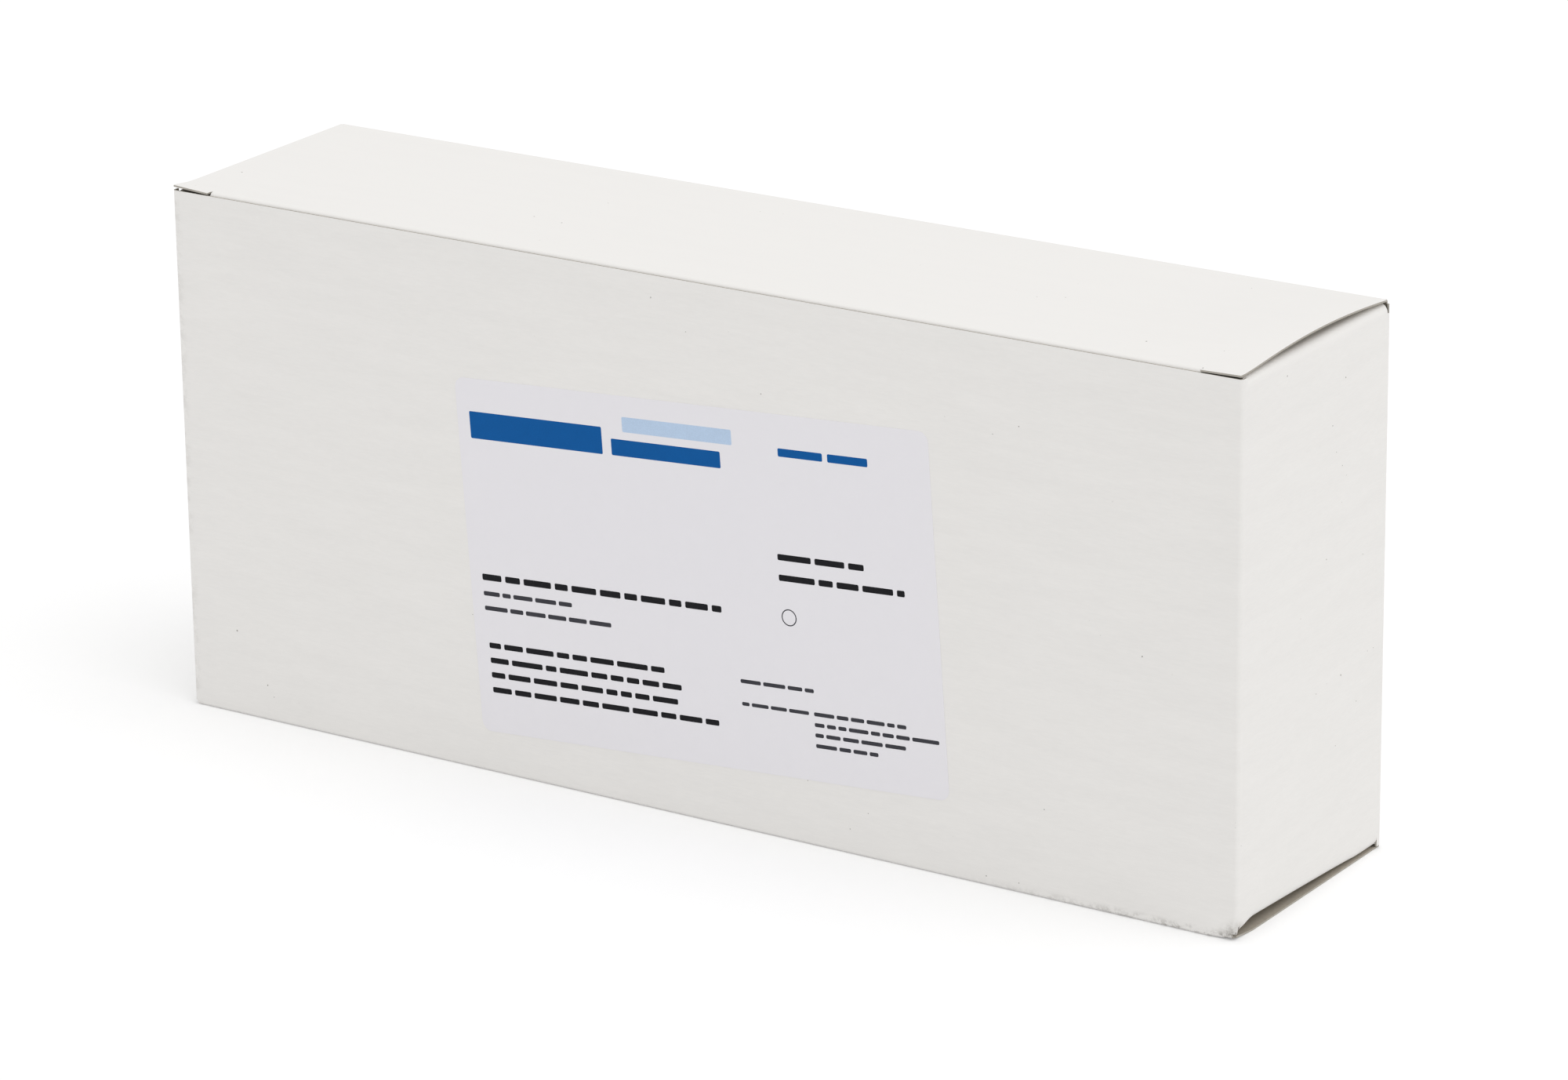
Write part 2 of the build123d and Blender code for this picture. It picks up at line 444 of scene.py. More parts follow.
def grime_group():
    """Dirt on the crushed corner, on the edges beside it and on the left crease, and specks."""
    sockets = {
        "Vector": "NodeSocketVector",
        "Wear": "NodeSocketFloat",
        "Specks": "NodeSocketFloat",
    }
    group, entry, result = new_group("Rubbed Board", sockets, ("Mask",))
    if entry is None:
        return group
    vector = entry.outputs["Vector"]
    axes = add_node(group, "ShaderNodeSeparateXYZ", {"Vector": vector})
    x, y, z = (axes.outputs[name] for name in "XYZ")
    patches = cloud(group, vector, 420.0, 6.0, 0.7)

    # A smear round the crushed corner
    corner = {0: vector, 1: Vector((RIGHT, FRONT, BASE))}
    away = add_node(group, "ShaderNodeVectorMath", corner, operation="DISTANCE").outputs["Value"]
    at_corner = remap(group, away, 7 * MM, 0.8 * MM)
    smear = multiply(group, at_corner, remap(group, patches, 0.35, 0.62, 0.15, 1.0))

    # Rubbed spots along the front panel's bottom edge, and fainter ones along its left edge
    at_front = near_value(group, y, FRONT, 2.5 * MM)
    to_the_right = remap(group, x, 0.07, RIGHT, 0.0, 0.8)
    low_edge = multiply(group, near_value(group, z, BASE, 3.0 * MM), to_the_right)
    left_edge = multiply(group, near_value(group, x, LEFT, 3.5 * MM), 0.18)
    edges = multiply(group, compute(group, "ADD", low_edge, left_edge), at_front)
    spots = multiply(group, edges, remap(group, patches, 0.44, 0.62))
    worn = multiply(group, compute(group, "ADD", spots, smear), entry.outputs["Wear"])

    # Dark specks of fibre in a few places
    dots = remap(group, cloud(group, vector, 900.0), 0.86, 0.89)
    here_and_there = remap(group, cloud(group, vector, 26.0), 0.57, 0.62)
    specks = multiply(group, dots, here_and_there, entry.outputs["Specks"])
    mask = compute(group, "MINIMUM", compute(group, "ADD", worn, specks), 1.0)
    feed(group, result.inputs["Mask"], mask)
    return group


def paper_material(name, tint, finish, rubbed=False):
    """Paper, board or print in a colour of the carton's, with grime on it if it is rubbed."""
    if name in bpy.data.materials:
        return bpy.data.materials[name]
    material, tree, shader = new_material(name)
    colours = bpy.context.scene.carton_colours
    stretched = add_node(
        tree, "ShaderNodeMapping", {"Vector": own_place(tree), "Scale": finish.fibres}
    )
    inputs = {
        "Vector": stretched.outputs["Vector"],
        "Streaks": finish.streaks,
        "Mottle": finish.mottle,
    }
    fibres = add_node(tree, "ShaderNodeGroup", inputs, node_tree=fibre_group())
    shade = {0: getattr(colours, tint)[:3], "Scale": fibres.outputs["Tone"]}
    toned = add_node(tree, "ShaderNodeVectorMath", shade, operation="SCALE").outputs["Vector"]
    roughness = finish.roughness
    if rubbed:
        inputs = {"Vector": own_place(tree), "Wear": WEAR, "Specks": SPECKS}
        grime = add_node(tree, "ShaderNodeGroup", inputs, node_tree=grime_group()).outputs["Mask"]
        blend = {0: grime, 6: toned, 7: colours.grime}
        toned = add_node(tree, "ShaderNodeMix", blend, data_type="RGBA").outputs[2]
        roughness = remap(tree, grime, 0.0, WEAR, finish.roughness, GRIMY_ROUGHNESS)
    relief = {
        "Strength": finish.bump,
        "Distance": finish.relief,
        "Height": fibres.outputs["Height"],
    }
    feed(tree, shader.inputs["Base Color"], toned)
    feed(tree, shader.inputs["Roughness"], roughness)
    feed(tree, shader.inputs["Normal"], add_node(tree, "ShaderNodeBump", relief).outputs["Normal"])
    shader.inputs["Specular IOR Level"].default_value = finish.gloss
    shader.inputs["Sheen Weight"].default_value = finish.sheen
    return material


def board_materials(grain, finish):
    """Face, back and cut edge of the board, for a sheet whose grain lies as named."""
    return [
        paper_material(f"board_face_{grain}", "face", finish, rubbed=True),
        paper_material("board_back", "back", BOARD_BACK),
        paper_material("board_cut", "cut", BOARD_CUT),
    ]


# --- Panels and dust flaps ---------------------------------------------------

FOLD_STEPS = 6
DUST_STEPS = 10
DUST_CLEARANCE = 1.2 * MM  # between a dust flap and the wall it hinges beside

PANEL_CUTS = 23  # even lines across each panel
CORNER_SEGMENTS = 4
# Closer lines near the crushed corner, in millimetres in from the right, the front and the base
CLOSE_FROM_RIGHT = (2, 3.5, 5.5, 8)
CLOSE_FROM_FRONT = (3.5, 5, 8)
CLOSE_FROM_BASE = (1, 2.5, 5)

# The gap under the right end panel
GAP_END = 0.84  # share of the depth at which it closes
GAP_START = 0.13  # share of the depth over which it opens
GAP_CURVE = 0.8
GAP_FLAP_HEIGHT = 6 * MM  # below this the dust flap is raised along its whole length
GAP_WALL_REACH = 3 * MM
GAP_HEIGHT = 40 * MM  # how far up the wall it is still felt

CRUSH_REACH = 9 * MM
CRUSH_PUSH = Vector((-0.55, 0.35, 0.5))
RIPPLE_SCALE, RIPPLE, RIPPLE_SEED = 600, 0.35, 5

GLUE_OFFSET = 1.02  # boards in from the left end panel's face
GLUE_SHORTER = 16 * MM
GLUE_TAPER = 0.9


def dust_limits(sizes, reach):
    """The two side edges of a dust flap at a distance in from its end panel."""
    tuck_side = FRONT + sizes.tuck_set + sizes.tuck_fold
    crease_side = BACK - sizes.board - DUST_CLEARANCE
    shoulder, length = sizes.dust_shoulder, sizes.dust_length
    corner = corner_inset(sizes.dust_corner, reach - (length - sizes.dust_corner))
    step = sizes.dust_step * min(1.0, max(0.0, (reach - shoulder) / sizes.dust_step))
    taper = sizes.dust_step * max(0.0, (reach - shoulder) / (length - shoulder))
    return tuck_side + step + corner, crease_side - taper - corner


def add_dust_flaps(sizes, low, high):
    """Folds the end panels' top and bottom edges into dust flaps."""
    tuck_side, crease_side = dust_limits(sizes, 0)
    step = (sizes.dust_length - sizes.dust_round) / DUST_STEPS
    for end in (-1, 1):
        wall = RIGHT * end
        centre = wall - end * sizes.dust_round
        for level, up in ((high, 1), (low, -1)):
            pick_rim(
                lambda co: near(co.x, wall)
                and near(co.z, level)
                and between(co.y * up, tuck_side, crease_side)
            )
            turn_edges(FOLD_STEPS, QUARTER_TURN * end * up, (centre, 0, level), (0, -1, 0))
            pull_edges((-end * step, 0, 0), DUST_STEPS)


def shape_dust_flap(sizes, low, high, co):
    """Brings a point of a dust flap to the flap's cut outline."""
    reach = RIGHT - abs(co.x)
    flip = 1 if co.z > MIDDLE else -1
    old_first, old_last = dust_limits(sizes, 0)
    past_fold = sizes.dust_round + SNAP <= reach <= sizes.dust_length + SNAP
    if not past_fold or low < co.z < high or not between(flip * co.y, old_first, old_last):
        return co
    new_first, new_last = dust_limits(sizes, reach)
    share = (flip * co.y - old_first) / (old_last - old_first)
    co.y = flip * (new_first + share * (new_last - new_first))
    return co


def raise_side(sizes, co):
    """Raises the right end panel's bottom fold off the closure, most near its front."""
    depth_share = (co.y - FRONT) / DEPTH
    rise = sizes.bottom_gap * max(0.0, 1 - depth_share / GAP_END) ** GAP_CURVE
    reach = sizes.dust_length if co.z < GAP_FLAP_HEIGHT else GAP_WALL_REACH
    beside = ease(co.x, RIGHT - reach, RIGHT)
    low_down = 1 - ease(co.z, BASE, BASE + GAP_HEIGHT)
    co.z += rise * beside * low_down * ease(depth_share, 0, GAP_START)
    return co


def crush(sizes, co):
    """Pushes in and ripples the board round the front right bottom corner."""
    away = (co - Vector((RIGHT, FRONT, BASE))).length
    noise.seed_set(RIPPLE_SEED)
    push = CRUSH_PUSH + noise.noise_vector(co * RIPPLE_SCALE) * RIPPLE
    return co + push * sizes.crush * (1 - ease(away, 0, CRUSH_REACH))


def make_glue_flap(sizes):
    """The flap on the back panel that is glued inside the left end panel."""
    begin()
    across = BACK - sizes.board - sizes.glue_flap / 2
    middle = (LEFT + sizes.board * GLUE_OFFSET, across, MIDDLE)
    bpy.ops.mesh.primitive_plane_add(size=1, location=middle, rotation=(0, -QUARTER_TURN, 0))
    flap = name_piece("glue_flap", (HEIGHT - GLUE_SHORTER, sizes.glue_flap, 1))
    pick("EDGE", lambda co: co.y < across)
    bpy.ops.transform.resize(value=(1, 1, GLUE_TAPER), center_override=middle)
    bpy.ops.object.mode_set(mode="OBJECT")
    thicken(flap, sizes.board, outward_from_middle, board_materials("upright", UPRIGHT_FACE))
    return flap


def join_pieces(piece, other):
    """Joins another piece into the first, which keeps its name."""
    begin()
    piece.select_set(True)
    other.select_set(True)
    bpy.context.view_layer.objects.active = piece
    bpy.ops.object.join()


class CARTON_OT_panels(bpy.types.Operator):
    """Builds the tube of four panels, with its dust flaps and its glue flap"""

    bl_idname = "carton.panels"
    bl_label = "Panels and dust flaps"

    def execute(self, context):
        sizes = context.scene.carton_sizes
        low = BASE + sizes.dust_face + sizes.dust_round
        high = TOP - sizes.dust_face - sizes.dust_round
        begin()
        bpy.ops.mesh.primitive_cube_add(size=1, location=(0, 0, MIDDLE))
        piece = name_piece("carton_panels", (LENGTH, DEPTH, high - low))
        pick("FACE", lambda co: near(co.z, high) or near(co.z, low))
        bpy.ops.mesh.delete(type="ONLY_FACE")
        bpy.ops.mesh.select_all(action="SELECT")
        bpy.ops.mesh.subdivide(number_cuts=PANEL_CUTS)
        pick("EDGE", lambda co: near(abs(co.x), RIGHT) and near(abs(co.y), BACK))
        bpy.ops.mesh.bevel(
            offset=sizes.corner_round, segments=CORNER_SEGMENTS, affect="EDGES"
        )

        tuck_side, crease_side = dust_limits(sizes, 0)
        cut_at(1, tuck_side, crease_side, -tuck_side, -crease_side)
        cut_at(0, *inset_from(RIGHT, CLOSE_FROM_RIGHT))
        cut_at(1, *inset_from(FRONT, CLOSE_FROM_FRONT))
        cut_at(2, *(low + step * MM for step in CLOSE_FROM_BASE))

        # The panel before a tuck flap ends just below the closure's face, and the panel
        # that a closure hangs on ends where its crease begins.
        flat_end = BACK - sizes.corner_round - SNAP
        crease = sizes.crease_round + sizes.crease_straight
        for level, up, outer in ((high, 1, TOP), (low, -1, BASE)):
            pick_rim(lambda co: near(co.z, level) and co.y * up < tuck_side + SNAP)
            pull_edges((0, 0, outer - up * sizes.edge_drop - level))
            pick_rim(lambda co: near(co.z, level) and co.y * up > flat_end)
            pull_edges((0, 0, outer - up * crease - level))
        add_dust_flaps(sizes, low, high)

        # The left end panel's raw edge stops just short of the rear corner.
        seam = BACK - sizes.corner_round
        cut_at(1, seam - sizes.seam)
        pick("FACE", lambda co: near(co.x, LEFT) and between(co.y, seam - sizes.seam, seam))
        bpy.ops.mesh.delete(type="FACE")

        def settle(co):
            return crush(sizes, raise_side(sizes, shape_dust_flap(sizes, low, high, co)))

        move_points(piece, settle)
        thicken(piece, sizes.board, outward_from_middle, board_materials("upright", UPRIGHT_FACE))
        join_pieces(piece, make_glue_flap(sizes))
        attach(piece, "carton")
        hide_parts("carton_body")
        return {"FINISHED"}


# --- Closures and their creases ----------------------------------------------

CLOSURE_GRID = (50, 18)
CLOSE_FROM_LID_END = (1.5, 3, 5)  # closer lines near the closure's right end, in millimetres
SWEEP_STEPS = 6
EAR_STEPS = 4
TAB_STEPS = 3

BOW_REACH = 55 * MM  # how far in from the right edge the lid is bowed
BOW_CURVE = 0.9
TAB_BEND = (-2 * MM, 6 * MM)  # where a lifted tab bends, from behind the tuck fold

CREASE_STEPS = 10
CLOSE_FROM_CREASE_END = (2.5, 4, 6, 8.5)


def closure_lift(sizes, co, left_lift, right_lift, bow):
    """How far the closure stands up at a place: its bowed right edge and its corner tabs."""
    fold_back = FRONT + sizes.tuck_set + sizes.tuck_fold
    panel_back = BACK - sizes.crease_round - sizes.crease_straight
    share = min(1.0, max(0.0, (co.y - fold_back) / (panel_back - fold_back)))
    at_right = ease(co.x, LID_END - BOW_REACH, LID_END)
    outwards = max(0.0, (abs(co.x) - (LID_END - sizes.slit)) / sizes.slit)
    forwards = 1 - ease(co.y, *(fold_back + bend for bend in TAB_BEND))
    tab_lift = right_lift if co.x > 0 else left_lift
    return bow * math.sin(math.pi * share) ** BOW_CURVE * at_right + tab_lift * outwards * forwards


def make_closure(name, sizes, left_lift=0.0, right_lift=0.0, bow=0.0):
    """A closure in the top's place: its panel, corner tabs, tuck fold and tuck flap."""
    fold_back = FRONT + sizes.tuck_set + sizes.tuck_fold
    fold_low = TOP - sizes.tuck_fold
    panel_back = BACK - sizes.crease_round - sizes.crease_straight
    slit_end = LID_END - sizes.slit
    ear_end = RIGHT - sizes.tuck_ends
    reach = LID_HINGE.y - (FRONT + sizes.tuck_set)
    begin()
    bpy.ops.mesh.primitive_grid_add(
        x_subdivisions=CLOSURE_GRID[0],
        y_subdivisions=CLOSURE_GRID[1],
        size=1,
        location=(0, (fold_back + panel_back) / 2, TOP),
    )
    piece = name_piece(name, (2 * LID_END, panel_back - fold_back, 1))
    cut_at(0, -slit_end, slit_end, *inset_from(LID_END, CLOSE_FROM_LID_END))

    # The fold, and the tuck flap as an arc about the hinge so that it can slide out
    pick_rim(lambda co: near(co.y, fold_back) and abs(co.x) <= slit_end + SNAP)
    turn_edges(FOLD_STEPS, QUARTER_TURN, (0, fold_back, fold_low), (1, 0, 0))
    pick_rim(lambda co: near(co.z, fold_low) and co.y < fold_back - SNAP)
    sweep = (sizes.tuck_depth - sizes.tuck_fold) / reach
    turn_edges(SWEEP_STEPS, sweep, LID_HINGE, (1, 0, 0))

    # The tuck flap's ears, below the corner tabs
    for side in (-1, 1):
        pick_rim(lambda co: near(co.x, side * slit_end) and co.z < TOP - sizes.ear_drop - SNAP)
        pull_edges((side * (ear_end - slit_end) / EAR_STEPS, 0, 0), EAR_STEPS)
    pick_rim(
        lambda co: near(co.z, TOP) and near(co.y, fold_back) and abs(co.x) >= slit_end - SNAP
    )
    pull_edges((0, (FRONT - fold_back) / TAB_STEPS, 0), TAB_STEPS)

    def settle(co):
        if near(co.z, TOP) and co.y < fold_back - SNAP and near(abs(co.x), slit_end):
            co.x += math.copysign(sizes.slit_open, co.x)
        if co.z < fold_low - SNAP:
            inset = corner_inset(sizes.tuck_corner, abs(co.x) - (ear_end - sizes.tuck_corner))
            depth = (fold_low - co.z) * (1 - inset / (sizes.tuck_depth - sizes.tuck_fold))
            co.z = fold_low - depth
            co.y = LID_HINGE.y - math.sqrt(reach**2 - (LID_HINGE.z - co.z) ** 2)
        if co.z > TOP - SNAP:
            co.z += closure_lift(sizes, co, left_lift, right_lift, bow)
        return co

    move_points(piece, settle)
    return piece


def outward_of_closure(up):
    """Outwards for a closure: its panel's face, and a little the face of its tuck flap."""
    return lambda spot: Vector((0, -0.2 * up, up))


def turn_over(co):
    """A place at the top turned half round the carton's middle line to the bottom."""
    return Vector((co.x, -co.y, TOP + BASE - co.z))


class CARTON_OT_closures(bpy.types.Operator):
    """Builds the top and bottom closures with their tuck flaps"""

    bl_idname = "carton.closures"
    bl_label = "Closures"

    def execute(self, context):
        sizes = context.scene.carton_sizes
        lid = make_closure(
            "lid_panel", sizes, sizes.left_tab_lift, sizes.right_tab_lift, sizes.lid_bow
        )
        thicken(lid, sizes.board, outward_of_closure(1), board_materials("level", LEVEL_FACE))
        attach(lid, "top_closure")
        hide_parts("top_lid")

        flap = make_closure("bottom_panel", sizes)
        move_points(flap, lambda co: crush(sizes, turn_over(co)))
        thicken(flap, sizes.board, outward_of_closure(-1), board_materials("level", LEVEL_FACE))
        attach(flap, "bottom_closure")
        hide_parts("bottom_flap")
        return {"FINISHED"}


class CARTON_OT_creases(bpy.types.Operator):
    """Builds the rounded creases that the closures hang on"""

    bl_idname = "carton.creases"
    bl_label = "Closure creases"

    def execute(self, context):
        sizes = context.scene.carton_sizes
        straight, radius = sizes.crease_straight, sizes.crease_round
        across, level = BACK - radius, TOP - radius
        for name, closure, turned in (
            ("top_crease", "top_closure", False),
            ("bottom_crease", "bottom_closure", True),
        ):
            begin()
            bpy.ops.mesh.primitive_plane_add(
                size=1, location=(0, BACK, level - straight / 2), rotation=(QUARTER_TURN, 0, 0)
            )
            piece = name_piece(name, (2 * (RIGHT - sizes.corner_round), straight, 1))
            pick_rim(lambda co: near(co.z, level))
            turn_edges(CREASE_STEPS, QUARTER_TURN, (0, across, level), (1, 0, 0))
            pick_rim(lambda co: near(co.y, across))
            pull_edges((0, -straight, 0))
            # The two ends of the middle half of its round; nothing below uses them.
            start = Vector((0, BACK - radius / 4, TOP - radius * 3 / 4))
            end = Vector((0, BACK - radius * 3 / 4, TOP - radius / 4))
            if turned:
                cut_at(0, *inset_from(RIGHT, CLOSE_FROM_CREASE_END))
                move_points(piece, lambda co: crush(sizes, turn_over(co)))
                start, end = turn_over(start), turn_over(end)
            else:
                bpy.ops.object.mode_set(mode="OBJECT")
            finish = board_materials("level", LEVEL_FACE)
            thicken(piece, sizes.board, outward_from_middle, finish)
            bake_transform(piece)
        return {"FINISHED"}


# --- Label and print ---------------------------------------------------------

LABEL_TURN = math.radians(3.6)
LABEL_SEGMENTS = 8

# Printed lines: left end, height above the label's middle, length, letter height, ink
PRINTED_LINES = [
    (-71.5, -5.8, 78.5, 2.3, "ink"),
    (-71.5, -10.5, 29.4, 1.6, "thin"),
    (-71.5, -14.7, 42.0, 1.6, "thin"),
    (-71.0, -25.4, 58.0, 2.0, "ink"),
    (-71.0, -29.7, 63.2, 2.0, "ink"),
    (-71.0, -33.9, 61.7, 2.0, "ink"),
    (-71.0, -38.2, 74.7, 2.0, "ink"),
    (26.2, 11.1, 27.0, 2.2, "ink"),
    (26.2, 5.4, 39.3, 2.2, "ink"),
    (11.6, -25.2, 23.3, 1.4, "thin"),
    (11.6, -31.6, 21.3, 1.3, "thin"),
    (34.5, -31.6, 28.9, 1.4, "thin"),
    (34.5, -34.6, 38.9, 1.4, "thin"),
    (34.5, -37.5, 28.4, 1.4, "thin"),
    (34.5, -40.5, 19.6, 1.4, "thin"),
    (28.5, 40.1, 27.9, 2.9, "blue"),
]
# Plain fields of colour: centre, width, height, ink
PRINTED_FIELDS = [
    (-49.7, 37.4, 43.5, 7.6, "blue"),
    (-3.5, 42.6, 35.0, 4.2, "pale"),
    (-7.5, 36.0, 35.0, 4.6, "blue"),
]
INKS = ("ink", "thin", "blue", "pale")
BAR_ROUNDING = 0.35
# Sizes of the word-like bars, in letter heights
BAR_LENGTHS = (1.6, 5.2)
BAR_HEIGHT = 0.78
BAR_GAP = 0.55
SHORTEST_REST = 1.6  # a shorter rest of a line joins the bar before it

RING_PLACE, RING_RADIUS, RING_WIDTH, RING_SIDES = (28.6, -5.5), 2.35, 0.3, 40


def stick_on_front(piece, lift):
    """Tilts a piece drawn upright about the origin as the label is, and puts it on the front."""
    turn = Matrix.Rotation(-LABEL_TURN, 4, "Y")
    move = Matrix.Translation((LABEL_CENTRE.x, FRONT - lift, LABEL_CENTRE.z))
    piece.data.transform(move @ turn)


class CARTON_OT_label(bpy.types.Operator):
    """Builds the paper label on the front panel"""

    bl_idname = "carton.label"
    bl_label = "Front label"

    def execute(self, context):
        sizes = context.scene.carton_sizes
        begin()
        bpy.ops.mesh.primitive_plane_add(size=1, rotation=(QUARTER_TURN, 0, 0))
        piece = name_piece("label_sheet", (sizes.label_width, sizes.label_height, 1))
        bpy.ops.mesh.select_all(action="SELECT")
        bpy.ops.mesh.bevel(offset=sizes.label_corner, segments=LABEL_SEGMENTS, affect="VERTICES")
        bpy.ops.object.mode_set(mode="OBJECT")
        stick_on_front(piece, sizes.label_thickness)
        paper = paper_material("front_label_paper", "label", LABEL_PAPER)
        thicken(piece, sizes.label_thickness, outward_to_front, [paper])
        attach(piece, "carton")
        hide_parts("label")
        return {"FINISHED"}


def line_bars(left, level, length, letter, chance):
    """Splits a printed line into word-like bars, as centre, width and height of each."""
    bars, start = [], 0.0
    while start < length - letter:
        word = letter * chance.uniform(*BAR_LENGTHS)
        if start + word + SHORTEST_REST * letter >= length:
            word = length - start
        bars.append((left + start + word / 2, level, word, letter * BAR_HEIGHT))
        start += word + letter * BAR_GAP
    return bars


def print_bars(name, bars):
    """Draws flat bars with rounded corners, upright about the origin, as one piece."""
    begin()
    piece = None
    for x, z, width, height in bars:
        middle = (x * MM, 0, z * MM)
        bpy.ops.mesh.primitive_plane_add(size=1, location=middle, rotation=(QUARTER_TURN, 0, 0))
        piece = piece or name_piece(name)
        bpy.ops.transform.resize(value=(width * MM, 1, height * MM), center_override=middle)
    if piece is None:
        raise RuntimeError(f"{name}: nothing to print")
    bpy.ops.mesh.select_all(action="SELECT")
    bpy.ops.mesh.bevel(
        offset=BAR_ROUNDING * MM, segments=2, affect="VERTICES", clamp_overlap=True
    )
    bpy.ops.object.mode_set(mode="OBJECT")
    return piece


def print_ring():
    """Adds a plain ring to the printed piece just drawn."""
    bpy.ops.object.mode_set(mode="EDIT")
    bpy.ops.mesh.select_all(action="DESELECT")
    middle = Vector((RING_PLACE[0], 0, RING_PLACE[1])) * MM
    bpy.ops.mesh.primitive_circle_add(
        vertices=RING_SIDES,
        radius=RING_RADIUS * MM,
        location=middle,
        rotation=(QUARTER_TURN, 0, 0),
    )
    inner = 1 - RING_WIDTH / RING_RADIUS
    bpy.ops.mesh.extrude_edges_move()
    bpy.ops.transform.resize(value=(inner, 1, inner), center_override=middle)
    bpy.ops.object.mode_set(mode="OBJECT")


class CARTON_OT_print(bpy.types.Operator):
    """Prints plain word-like bars, fields of colour and a ring on the label"""

    bl_idname = "carton.print"
    bl_label = "Label print"

    def execute(self, context):
        sizes = context.scene.carton_sizes
        chance = random.Random(7)
        for tint in INKS:
            bars = [tuple(field) for *field, ink in PRINTED_FIELDS if ink == tint]
            for *line, ink in PRINTED_LINES:
                if ink == tint:
                    bars += line_bars(*line, chance)
            piece = print_bars(f"label_print_{tint}", bars)
            if tint == "thin":
                print_ring()
            stick_on_front(piece, sizes.label_thickness + sizes.ink_thickness)
            ink_finish = paper_material(f"label_ink_{tint}", tint, PRINT)
            thicken(piece, sizes.ink_thickness, outward_to_front, [ink_finish])
            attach(piece, "carton")
        return {"FINISHED"}


# --- Filters -----------------------------------------------------------------


class CARTON_OT_filters(bpy.types.Operator):
    """Gives the folded filters their soft, unglazed paper"""

    bl_idname = "carton.filters"
    bl_label = "Folded filters"

    def execute(self, context):
        rows = [node for name, node in frame["nodes"].items() if "filters_row" in name]
        if not rows:
            raise RuntimeError("The packed model has no rows of filters")
        paper = paper_material("folded_filter_paper", "filter", FILTER_PAPER)
        for row in rows:
            row.data.materials.clear()
            row.data.materials.append(paper)
        return {"FINISHED"}


# --- Studio ------------------------------------------------------------------

VIEW_AZIMUTH = math.radians(33.4)
VIEW_ELEVATION = math.radians(19.0)
VIEW_ROLL = math.radians(-0.74)
VIEW_DISTANCE = 1.742
VIEW_OFFSET = (5.0 * MM, -8.0 * MM)  # of the aim, right and up from the carton's centre
LENS = 147.6
SENSOR = 36.0
FURTHEST_SEEN = 50.0

FLOOR_SIZE = 30
FLOOR_DROP = 0.01 * MM
FLOOR_GLOW = 0.18
WHITE = (1, 1, 1, 1)
WORLD_STRENGTH = 0.80
SUN_STRENGTH = 0.72
SUN_SPREAD = math.radians(50)
SUN_DIRECTION = Vector((-0.40, 0.05, -0.91))


def place_camera():
    """Puts the camera to the right of the front, looking down on the carton."""
    data = bpy.data.cameras.new("camera")
    data.lens = LENS
    data.sensor_width = SENSOR
    data.clip_end = FURTHEST_SEEN
    camera = bpy.data.objects.new("camera", data)
    bpy.context.collection.objects.link(camera)
    turn = Euler((QUARTER_TURN - VIEW_ELEVATION, 0, VIEW_AZIMUTH), "XYZ").to_matrix()
    right, up, back = turn.col
    aim = Vector((0, 0, MIDDLE)) + right * VIEW_OFFSET[0] + up * VIEW_OFFSET[1]
    camera.location = aim + back * VIEW_DISTANCE
    camera.rotation_euler = (turn @ Matrix.Rotation(VIEW_ROLL, 3, "Z")).to_euler()
    bpy.context.scene.camera = camera


def floor_material():
    """Pale floor that shows a little brighter than it is lit, with the carton's shadow kept."""
    material, tree, shader = new_material("floor")
    shader.inputs["Base Color"].default_value = bpy.context.scene.carton_colours.floor
    shader.inputs["Roughness"].default_value = 1.0
    shader.inputs["Specular IOR Level"].default_value = 0.0
    rays = add_node(tree, "ShaderNodeLightPath").outputs
    seen = compute(tree, "MAXIMUM", rays["Is Camera Ray"], rays["Is Glossy Ray"])
    light = {"Color": WHITE, "Strength": multiply(tree, seen, FLOOR_GLOW)}
    glow = add_node(tree, "ShaderNodeEmission", light).outputs["Emission"]
    both = add_node(tree, "ShaderNodeAddShader", {0: shader.outputs["BSDF"], 1: glow})
    tree.links.new(both.outputs["Shader"], tree.nodes["Material Output"].inputs["Surface"])
    return material


def add_sun():
    """A wide soft sun from above, and from the carton's right."""
    data = bpy.data.lights.new("key", "SUN")
    data.energy = SUN_STRENGTH
    data.angle = SUN_SPREAD
    lamp = bpy.data.objects.new("key", data)
    bpy.context.collection.objects.link(lamp)
    lamp.rotation_euler = SUN_DIRECTION.to_track_quat("-Z", "Y").to_euler()


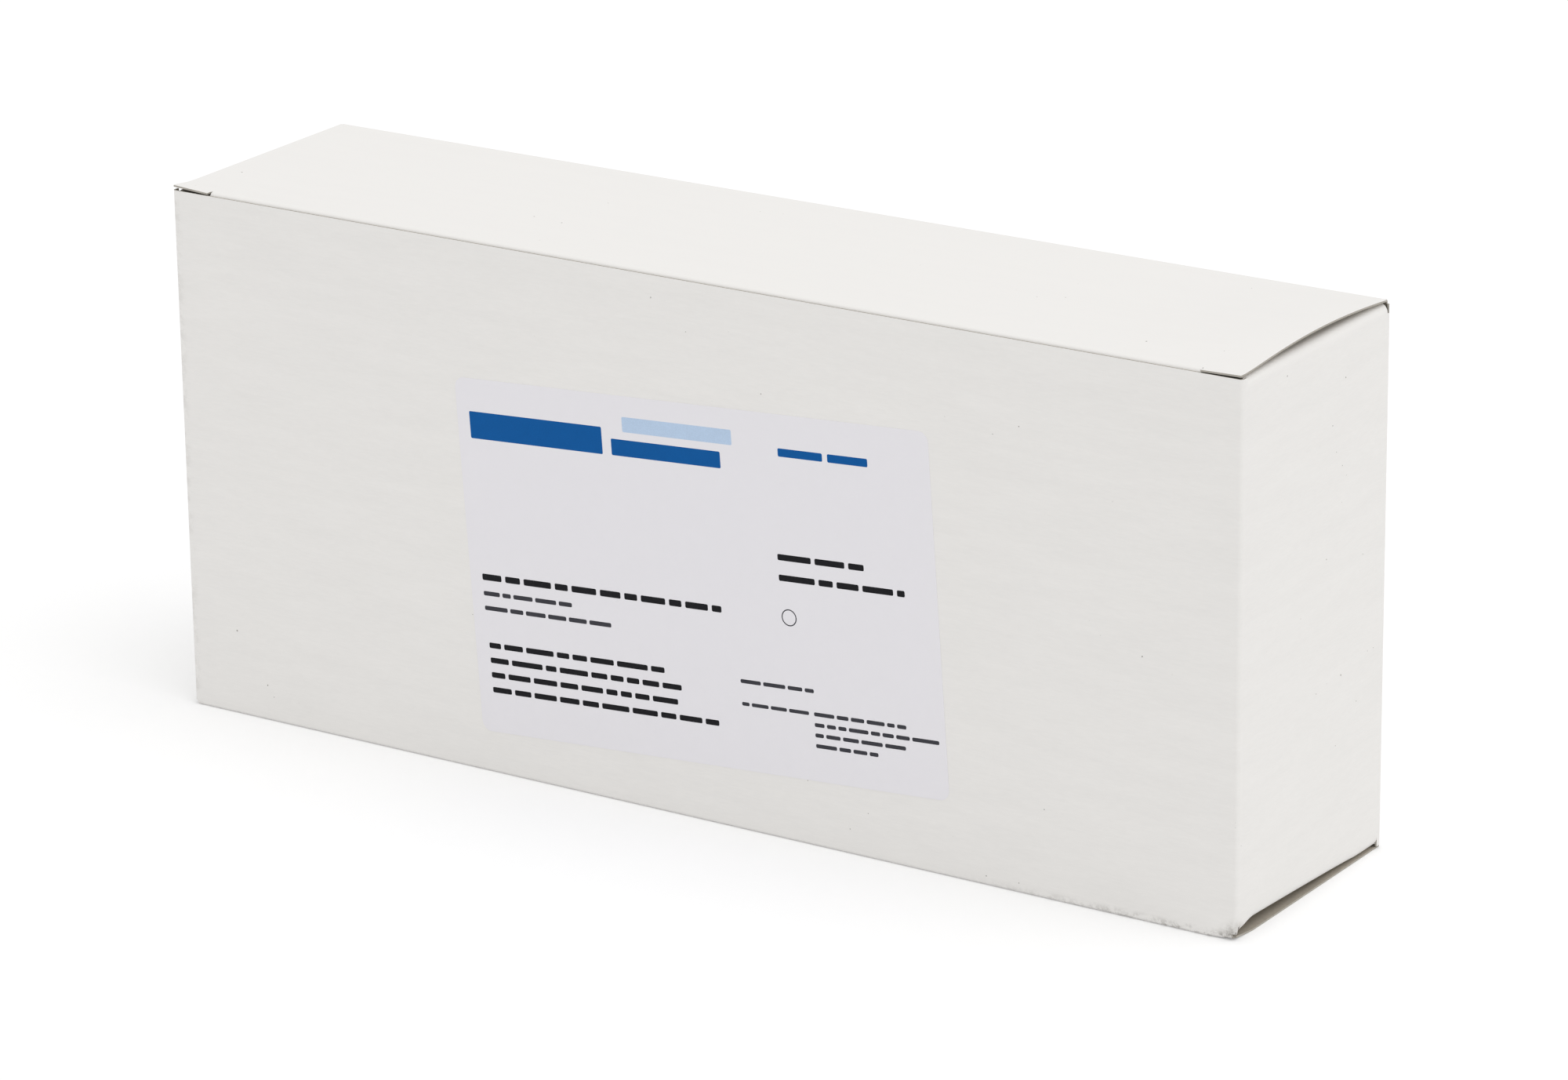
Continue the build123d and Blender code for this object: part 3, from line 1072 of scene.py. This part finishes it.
class CARTON_OT_stage(bpy.types.Operator):
    """Sets up the floor, the soft light and the camera"""

    bl_idname = "carton.stage"
    bl_label = "Studio"

    def execute(self, context):
        begin()
        bpy.ops.mesh.primitive_plane_add(size=FLOOR_SIZE, location=(0, 0, BASE - FLOOR_DROP))
        floor = name_piece("floor")
        bpy.ops.object.mode_set(mode="OBJECT")
        floor.data.materials.append(floor_material())

        world = bpy.data.worlds.new("studio")
        world.use_nodes = True
        background = world.node_tree.nodes["Background"]
        background.inputs["Color"].default_value = WHITE
        background.inputs["Strength"].default_value = WORLD_STRENGTH
        context.scene.world = world
        add_sun()
        place_camera()
        context.scene.view_settings.view_transform = "Standard"
        return {"FINISHED"}


# --- Add-on ------------------------------------------------------------------


class CARTON_PT_sidebar(bpy.types.Panel):
    """Lists the carton's builders, sizes and colours"""

    bl_label = "Filter Paper Carton"
    bl_idname = "CARTON_PT_sidebar"
    bl_space_type = "VIEW_3D"
    bl_region_type = "UI"
    bl_category = "Carton"

    def draw(self, context):
        for operator in OPERATORS:
            self.layout.operator(operator.bl_idname)
        for group in (context.scene.carton_sizes, context.scene.carton_colours):
            box = self.layout.box()
            for key in group.__annotations__:
                box.prop(group, key)


OPERATORS = (
    CARTON_OT_panels,
    CARTON_OT_closures,
    CARTON_OT_creases,
    CARTON_OT_label,
    CARTON_OT_print,
    CARTON_OT_filters,
    CARTON_OT_stage,
)
CLASSES = (CartonSizes, CartonColours, *OPERATORS, CARTON_PT_sidebar)


def register():
    """Adds the classes, and the sizes and colours of a scene."""
    for entry in CLASSES:
        bpy.utils.register_class(entry)
    bpy.types.Scene.carton_sizes = PointerProperty(type=CartonSizes)
    bpy.types.Scene.carton_colours = PointerProperty(type=CartonColours)


def unregister():
    """Takes away what register added."""
    del bpy.types.Scene.carton_colours
    del bpy.types.Scene.carton_sizes
    for entry in reversed(CLASSES):
        bpy.utils.unregister_class(entry)


def main():
    """Builds every piece and the studio."""
    register()
    bpy.ops.carton.panels()
    bpy.ops.carton.closures()
    bpy.ops.carton.creases()
    bpy.ops.carton.label()
    bpy.ops.carton.print()
    bpy.ops.carton.filters()
    bpy.ops.carton.stage()


if __name__ == "__main__":
    main()
